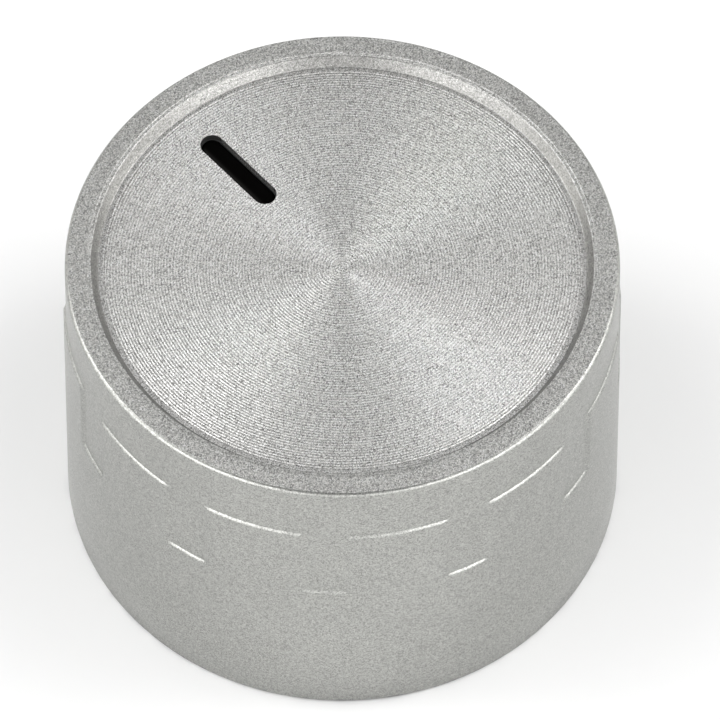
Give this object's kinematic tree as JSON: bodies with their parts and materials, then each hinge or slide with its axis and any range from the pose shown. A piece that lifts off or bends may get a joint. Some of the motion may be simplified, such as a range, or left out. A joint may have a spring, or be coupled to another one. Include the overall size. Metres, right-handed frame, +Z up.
{
  "type": "stove knob",
  "caption": "Round hob control knob: drafted satin silver cap with grip pads, recessed turned face and black pointer, over a ribbed core with a D-shaped spindle socket.",
  "frame": {"origin": "centre of the base rim, on the plane that the knob stands on", "axes": "+Z up along the spindle axis, from the base rim to the face; +Y towards the pointer; the socket's flat is on the pointer's side"},
  "size_m": [0.04, 0.04, 0.0267],
  "materials": {
    "silver_lacquer": "satin silver metallic lacquer with a fine sparkle, over dark moulded plastic; face with fine turned rings",
    "black_plastic": "moulded heat-resistant black plastic, fine matt texture",
    "spring_steel": "bright rolled spring steel"
  },
  "bodies": {
    "root": {"outer_shell": "silver_lacquer", "hub_insert": "black_plastic", "spring_ring": "spring_steel"}
  },
  "joints": []
}
